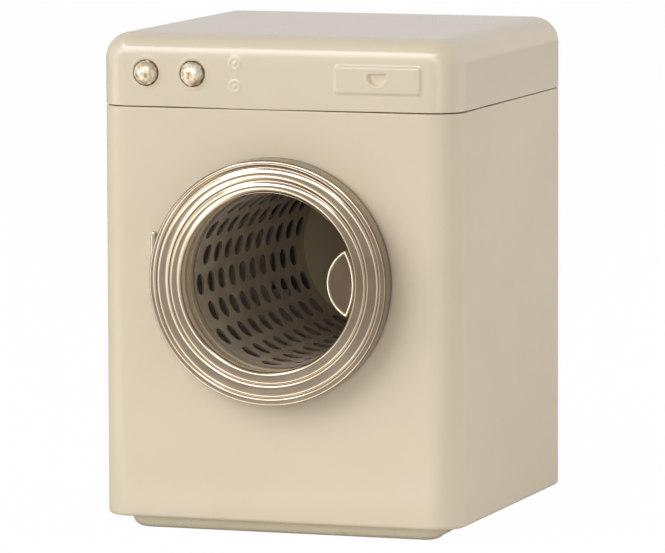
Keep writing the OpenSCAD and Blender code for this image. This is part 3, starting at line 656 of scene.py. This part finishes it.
def knob(node, body, seed):
    """A pressed dome with a rolled rim, crumpled by the press, on its shank."""
    r0 = KNOB_D / 2
    rings = 34
    steps = 96
    # The dome, then the rolled rim and the shank, as (radius, distance in front of the lid)
    profile = []
    for i in range(rings + 1):
        s = i / rings
        profile.append((r0 * 0.93 * s, KNOB_PROUD * (1 - s ** 2.3) * 0.86 + 0.3))
    profile += [(r0 * 0.97, 0.34), (r0 * 0.99, 0.24), (r0, 0.14), (r0 * 0.985, 0.06), (r0 * 0.9, 0.05),
                (SHANK_D / 2, 0.05), (SHANK_D / 2, -SHANK_TAIL), (0.05, -SHANK_TAIL)]
    cx = KNOB_X[node]
    cz = SEAM_Z + KNOB_Z
    verts = []
    for i in range(steps):
        a = 2 * math.pi * i / steps
        for r, t in profile:
            x = r * math.cos(a)
            z = r * math.sin(a)
            if t > 0:
                # Only what lies in front of the lid is crumpled
                p = Vector((x * 0.9, z * 0.9, seed))
                crumple = 0.07 * noise.fractal(p, 0.9, 2.1, 4) - 0.03 * abs(noise.noise(p * 1.9))
                rim = 0.035 * noise.noise(Vector((3 * math.cos(a), 3 * math.sin(a), seed + 7)))
                t = max(t + crumple * min(1.0, 1.4 * (1 - r / r0) + 0.25), 0.02)
                x *= 1 + rim
                z *= 1 + rim
            verts.append(((cx + x) * MM, (FRONT - t) * MM, (cz + z) * MM))
    faces = grid_faces(steps, len(profile), True, False)
    o = mesh_piece(node + "_dome", verts, faces, [KNOB], body)
    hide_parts(node)


knob("outer_knob", "outer_knob", 3.1)
knob("inner_knob", "inner_knob", 11.7)


# The lid


def drawer_form(x, z):
    """Height of the drawer front over the panel, with a soft edge, and of its finger recess, which
    is a bowl under a straight upper edge with a faint lip. Coordinates from its middle."""
    qx = np.maximum(np.abs(x) - DRAWER_W / 2 + DRAWER_R, 0)
    qz = np.maximum(np.abs(z) - DRAWER_H / 2 + DRAWER_R, 0)
    inside = DRAWER_R - np.hypot(qx, qz)
    plateau = DRAWER_RISE * smooth_step(inside / DRAWER_BEVEL)
    r = (RECESS_W ** 2 / 4 + RECESS_H ** 2) / (2 * RECESS_H)
    bowl = r - np.hypot(x, z - r + RECESS_H / 2) - 0.25
    under = RECESS_H / 2 - z
    depth = RECESS_DEPTH * smooth_step(np.minimum(bowl / 0.6, under / 0.25))
    lip = 0.22 * np.exp(-((bowl + 0.22) / 0.24) ** 2) * smooth_step(under / 0.6)
    return plateau - np.where((bowl > 0) & (under > 0), depth, 0) + lip


def button_form(x, z):
    """Height of a button: a low bead round it and a dot in its middle."""
    r = np.hypot(x, z)
    bead = 0.28 * np.exp(-((r - BUTTON_D / 2 + 0.1) / 0.28) ** 2)
    dot = 0.5 * np.exp(-(r / 0.5) ** 2)
    return bead + dot


def knob_seat_form(x, z):
    """Height of a knob's seat: a bead round the knob and a shallow well under it."""
    r = np.hypot(x, z)
    return 0.16 * np.exp(-((r - KNOB_D / 2 - 0.35) / 0.3) ** 2) - 0.05 * (r < KNOB_D / 2)


def panel_height(x, z):
    """How far the lid's front stands out at x and height z above the seam."""
    h = drawer_form(x - DRAWER_X, z - DRAWER_Z)
    for bz in BUTTON_Z:
        h = h + button_form(x - BUTTON_X, z - bz)
    for kx in KNOB_X.values():
        h = h + knob_seat_form(x - kx, z - KNOB_Z)
    return float(h)


def perimeter(fine):
    """Points of a line that runs CORNER inside the lid's plan, each with its outward direction. The
    front has a point for every length fine."""
    hw = BODY_W / 2 - CORNER
    hd = BODY_D / 2 - CORNER
    out = []
    n_front = int(2 * hw / fine)
    for i in range(n_front):
        out.append((-hw + 2 * hw * i / n_front, -hd, 0.0, -1.0))
    corners = [((hw, -hd), -90), ((hw, hd), 0), ((-hw, hd), 90), ((-hw, -hd), 180)]
    n_corner = 18
    n_side = 24
    for q, ((cx, cy), start) in enumerate(corners):
        for i in range(n_corner):
            a = math.radians(start + 90 * i / n_corner)
            out.append((cx, cy, math.cos(a), math.sin(a)))
        if q < len(corners) - 1:
            nx, ny = corners[q + 1][0]
            a = math.radians(start + 90)
            for i in range(n_side):
                share = i / n_side
                out.append((cx + (nx - cx) * share, cy + (ny - cy) * share, math.cos(a), math.sin(a)))
    return out


def seam_sway(x, y):
    """How far the lid's lower edge dips: the seam is open at the left, tight in the middle."""
    tight = math.exp(-((x + 2) / 16) ** 2) if y < 0 else 0.4
    return -0.13 * tight + 0.05 * noise.noise(Vector((x * 0.09, y * 0.09, 4.2)))


def shoulder_arc(r, step):
    """The lid's shoulder, with radius r about the middle of its bend and a point every step degrees,
    as (distance in from the outside, height above the seam)."""
    shoulder = LID_H - LID_TOP_R
    return [(LID_TOP_R - r * math.cos(math.radians(a)), shoulder + r * math.sin(math.radians(a)))
            for a in np.arange(0, 90 + step, step)]


def lid_pressed():
    """The lid, with the drawer front, the buttons and the knobs' seats pressed into its front."""
    low = SEAM_GAP
    shoulder = LID_H - LID_TOP_R
    fine = 0.2
    around = perimeter(fine)
    # The section from the lower edge up the wall, over the shoulder and across the top, as
    # (distance in from the outside, height above the seam)
    outside = [(0.45, low + 0.02), (0.2, low), (0.06, low + 0.07), (0.0, low + 0.22)]
    rise = shoulder - low - 0.3
    n = int(rise / fine)
    outside += [(0.0, low + 0.3 + rise * i / n) for i in range(n)]
    outside += shoulder_arc(LID_TOP_R, 4.5) + [(CORNER, LID_H)]
    verts = []
    for cx, cy, ox, oy in around:
        for inset, z in outside:
            reach = CORNER - inset
            x = cx + ox * reach
            y = cy + oy * reach
            if oy < -0.99 and z < shoulder + 2.5 and inset < 1.0:
                y -= panel_height(x, z)
            dip = seam_sway(x, y) * math.exp(-(max(z - low, 0) / 0.5))
            verts.append((x * MM, y * MM, (SEAM_Z + z + dip) * MM))
    columns = len(outside)
    faces = grid_faces(len(around), columns, True, False)
    faces.append(tuple(i * columns + columns - 1 for i in range(len(around))))
    first_inner = len(faces)
    # The inner side, a sheet's thickness in
    inside = [(0.45, low + 0.02), (SHEET, low + 0.1)] + shoulder_arc(LID_TOP_R - SHEET, 15)
    start = len(verts)
    for cx, cy, ox, oy in around:
        for inset, z in inside:
            reach = CORNER - inset
            verts.append(((cx + ox * reach) * MM, (cy + oy * reach) * MM, (SEAM_Z + z) * MM))
    columns = len(inside)
    faces += grid_faces(len(around), columns, True, False, start)
    faces.append(tuple(start + i * columns + columns - 1 for i in range(len(around))))
    o = mesh_piece("lid_pressed", verts, faces, [LID_CREAM, BARE], "cabinet", first_inner)
    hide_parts("lid_shell")


lid_pressed()


# The plinth


def pan_outline(offset):
    """The pan's plan, drawn out by offset, as points round it."""
    out = []
    for (sx, sy), start in zip(((1, -1), (1, 1), (-1, 1), (-1, -1)), (-90, 0, 90, 180)):
        cx = sx * (PAN_W / 2 - PLINTH_R)
        cy = sy * (PAN_D / 2 - PLINTH_R)
        out += arc(cx, cy, PLINTH_R + offset, start, start + 90, 16)
    return out


def pan_lean(x, y, z):
    """Behind its front corner, the pan's right side leans in towards the floor."""
    right = float(smooth_step((x - 20) / 18))
    behind = float(smooth_step((y + PAN_D / 2) / 14))
    return x - PAN_LEAN * max(0.0, 1 - z / PLINTH_H) * right * behind


def pan_pressed():
    """The pan that closes the bottom, drawn with a full round along its bottom edge."""
    edge = PAN_EDGE_R
    rim_z = PLINTH_H + SHEET
    section = arc(-edge, edge, edge, -90, 0, 10) + [(0, rim_z), (PLINTH_RIM, rim_z)]
    section += [(PLINTH_RIM, rim_z + SHEET), (-SHEET, rim_z + SHEET)]
    section += arc(-edge, edge, edge - SHEET, 0, -90, 6)
    verts = []
    for offset, z in section:
        verts += [(pan_lean(x, y, z) * MM, y * MM, z * MM) for x, y in pan_outline(offset)]
    around = len(pan_outline(0))
    faces = grid_faces(len(section), around, False, True)
    faces.append(tuple(range(around)))
    faces.append(tuple(range((len(section) - 1) * around, len(section) * around)))
    o = mesh_piece("pan_pressed", verts, faces, [PAN_CREAM_PAINTED_LIGHT], "cabinet")
    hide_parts("base_pan")


pan_pressed()


# Lights, room and floor

LAMP_TARGET = Vector((0, 0, 56 * MM))


def lamp(name, azimuth, elevation, distance, size, radiance, colour):
    """A soft box that faces the object. Azimuth 0 is in front and 90 is at the right. Metal and
    enamel mirror the tent, which hides the lamps."""
    a = math.radians(azimuth)
    e = math.radians(elevation)
    out = Vector((math.sin(a) * math.cos(e), -math.cos(a) * math.cos(e), math.sin(e)))
    data = bpy.data.lights.new(name, "AREA")
    data.shape = "RECTANGLE"
    data.size, data.size_y = size
    data.energy = radiance * math.pi * size[0] * size[1]
    data.color = colour
    o = bpy.data.objects.new(name, data)
    o.location = LAMP_TARGET + out * distance
    o.rotation_mode = "QUATERNION"
    o.rotation_quaternion = (-out).to_track_quat("-Z", "Y")
    o.visible_glossy = False
    bpy.context.scene.collection.objects.link(o)


lamp("key", azimuth=-30, elevation=28, distance=1.2, size=(1.1, 0.9), radiance=2.7,
     colour=(1.0, 0.985, 0.96))
lamp("front", azimuth=17, elevation=9, distance=1.7, size=(0.5, 0.5), radiance=4.35,
     colour=(1.0, 0.98, 0.95))
lamp("right", azimuth=118, elevation=22, distance=1.3, size=(0.7, 1.0), radiance=2.45,
     colour=(1.02, 0.955, 0.96))

# Directions from the object to the middle of the tent's opening, across it and up it
OPENING_MIDDLE = (-0.3235, -0.9396, -0.111)
OPENING_ACROSS = (0.9455, -0.3256, 0.0)
OPENING_UP = (-0.036, -0.105, 0.9938)
OPENING_HALF_WIDE = 0.76
OPENING_HALF_HIGH = 0.66
# Tints of the tent's light
PLAIN = (1.0, 1.0, 1.0)
WARM = (1.0, 0.985, 0.96)
COOL = (1.0, 1.0, 1.1)
CLOTH = (1.0, 0.99, 0.98)
CLOTH_BEHIND = (1.0, 0.955, 0.93)


def tent(tree, direction):
    """Brightness of the white tent round the table in a direction: grey in front, where the tent is
    open, a bright strip round the opening that is weaker at its sides, a broad soft light over it,
    the lit table below, and pale cloth behind the object."""
    def along(axis):
        """How far the direction goes along an axis."""
        node = tree.add("ShaderNodeVectorMath", operation="DOT_PRODUCT")
        node.inputs[1].default_value = axis
        tree.join(direction, node.inputs[0])
        return node.outputs["Value"]

    def light(fac, stops, tint):
        return tree.ramp(fac, [(at, tinted(value, tint)) for at, value in stops], ease=True)

    # How far out of the opening's middle: 0.5 is its edge, and behind the object is far outside
    across = tree.math("DIVIDE", along(OPENING_ACROSS), OPENING_HALF_WIDE)
    aside = tree.math("ABSOLUTE", across)
    upward = tree.math("DIVIDE", along(OPENING_UP), OPENING_HALF_HIGH)
    away = tree.math("MAXIMUM", tree.math("SUBTRACT", 0.0, along(OPENING_MIDDLE)), 0.0)
    backward = tree.math("MULTIPLY", away, 4.0)
    outward = tree.math("MULTIPLY", tree.math("ADD", tree.hypot(across, upward), backward), 0.5)

    strip = light(outward, [(0.0, 0.58), (0.28, 0.56), (0.38, 0.7), (0.455, 3.8), (0.55, 3.8),
                            (0.62, 0.8), (0.7, 0.5), (0.82, 0.42)], CLOTH)
    side_strip = light(outward, [(0.0, 0.58), (0.28, 0.56), (0.38, 0.8), (0.47, 2.0), (0.53, 2.0),
                                 (0.62, 0.9), (0.7, 0.55), (0.82, 0.5)], CLOTH)
    tone = tree.mix("MIX", light(aside, [(0.6, 0.0), (0.92, 1.0)], PLAIN), strip, side_strip)

    downward = along((0.0, 0.0, -1.0))
    table_light = light(downward, [(0.1, 0.0), (0.28, 0.75), (0.8, 0.75), (0.97, 0.4)], WARM)
    over = light(along(OPENING_UP), [(0.62, 0.0), (0.72, 6.4), (0.8, 6.4), (0.88, 0.0)], COOL)
    over_middle = light(tree.math("ADD", aside, backward), [(0.4, 1.0), (0.9, 0.0)], PLAIN)
    top_light = tree.mix("MULTIPLY", 1.0, over, over_middle)
    behind = light(along((0.0, 1.0, 0.0)), [(0.25, 0.0), (0.6, 0.66)], CLOTH_BEHIND)
    for other in (table_light, top_light, behind):
        tone = tree.mix("LIGHTEN", 1.0, tone, other)
    return tone


def room():
    """The camera sees plain white behind the object. Metal and enamel mirror the tent, and the
    rest of the room's light is soft and even, a little paler at the sides."""
    world = bpy.data.worlds.new("studio")
    bpy.context.scene.world = world
    world.use_nodes = True
    tree = Tree(world.node_tree)
    direction = tree.add("ShaderNodeTexCoord").outputs["Generated"]

    def background(colour):
        return tree.glow("ShaderNodeBackground", colour, 1.0)

    aside = tree.math("ABSOLUTE", tree.split(direction)["X"])
    tint = (1.0, 0.98, 0.95)
    soft = tree.ramp(aside, [(0.55, tinted(0.36, tint)), (0.95, tinted(0.6, tint))])
    path = tree.add("ShaderNodeLightPath").outputs
    lit = tree.shader_mix(path["Is Glossy Ray"], background(soft), background(tent(tree, direction)))
    seen = tree.shader_mix(path["Is Camera Ray"], lit, background((1.0, 1.0, 1.0, 1.0)))
    tree.join(seen, tree.add("ShaderNodeOutputWorld").inputs["Surface"])


room()


def floor_card():
    """White card that melts into the background and keeps a trace of the shadow. In front of the
    object, metal and enamel mirror in it what the lit table of the tent shows."""
    n = Material("floor_card")
    n.set(Base_Color=n.between(n.noise(3, 2, 0.5), 0.74, 0.77), Roughness=0.9)
    white = n.glow("ShaderNodeEmission", (1, 1, 1, 1), 1.0)
    path = n.add("ShaderNodeLightPath").outputs
    shadow_kept = n.math("MULTIPLY", path["Is Camera Ray"], 0.985)
    seen = n.shader_mix(shadow_kept, n.bsdf.outputs[0], white)
    # What the ring mirrors in the table, as a direction from the middle of the door
    away = n.add("ShaderNodeVectorMath", operation="SUBTRACT")
    away.inputs[1].default_value = (0.0, (FRONT - RING_PROUD) * MM, PORT_Z * MM)
    n.join(n.place(), away.inputs[0])
    unit = n.add("ShaderNodeVectorMath", operation="NORMALIZE")
    n.join(away.outputs[0], unit.inputs[0])
    mirrored = n.glow("ShaderNodeEmission", tent(n, unit.outputs[0]), 1.1)
    in_front = n.span(n.parts()["Y"], 0.0, 1.0, (-0.05, -0.075))
    glossy = n.math("MULTIPLY", path["Is Glossy Ray"], 0.85)
    n.show(n.shader_mix(n.math("MULTIPLY", glossy, in_front), seen, mirrored))
    return n.mat


def table():
    """A flat card on the table, whose front edge lies just in front of the object. Sizes here are in
    metres."""
    wide = 3.0
    front = -0.27
    back = 3.0
    corners = [(-wide, front, 0), (wide, front, 0), (wide, back, 0), (-wide, back, 0)]
    mesh = bpy.data.meshes.new("floor")
    mesh.from_pydata(corners, [], [(0, 1, 2, 3)])
    mesh.materials.append(floor_card())
    o = bpy.data.objects.new("floor", mesh)
    o.location = (0, 0, -0.00002)
    bpy.context.scene.collection.objects.link(o)


table()


# Camera

LENS = 345.18  # millimetres, for a sensor 36 mm wide
CAMERA_TURN = 18.8809  # degrees to the right of the front
CAMERA_ELEVATION = 6.3698  # degrees
CAMERA_ROLL = -0.1629  # degrees
CAMERA_TARGET = Vector((-0.912, -0.04, 54.666)) * MM
CAMERA_DISTANCE = 1.4702  # metres


def camera():
    """The photograph's viewpoint: a long lens, a little above the front and to its right."""
    data = bpy.data.cameras.new("camera")
    data.sensor_fit = "HORIZONTAL"
    data.sensor_width = 36.0
    data.lens = LENS
    data.clip_start = 0.05
    data.clip_end = 20.0
    o = bpy.data.objects.new("camera", data)
    bpy.context.scene.collection.objects.link(o)
    yaw = math.radians(CAMERA_TURN)
    pitch = math.radians(CAMERA_ELEVATION)
    roll = math.radians(CAMERA_ROLL)
    back = Vector((math.sin(yaw) * math.cos(pitch), -math.cos(yaw) * math.cos(pitch), math.sin(pitch)))
    right = Vector((math.cos(yaw), math.sin(yaw), 0))
    up = back.cross(right)
    across = right * math.cos(roll) + up * math.sin(roll)
    upward = up * math.cos(roll) - right * math.sin(roll)
    place = CAMERA_TARGET + back * CAMERA_DISTANCE
    o.matrix_world = Matrix(((across.x, upward.x, back.x, place.x),
                             (across.y, upward.y, back.y, place.y),
                             (across.z, upward.z, back.z, place.z),
                             (0, 0, 0, 1)))
    bpy.context.scene.camera = o


camera()
bpy.context.scene.view_settings.view_transform = "Standard"
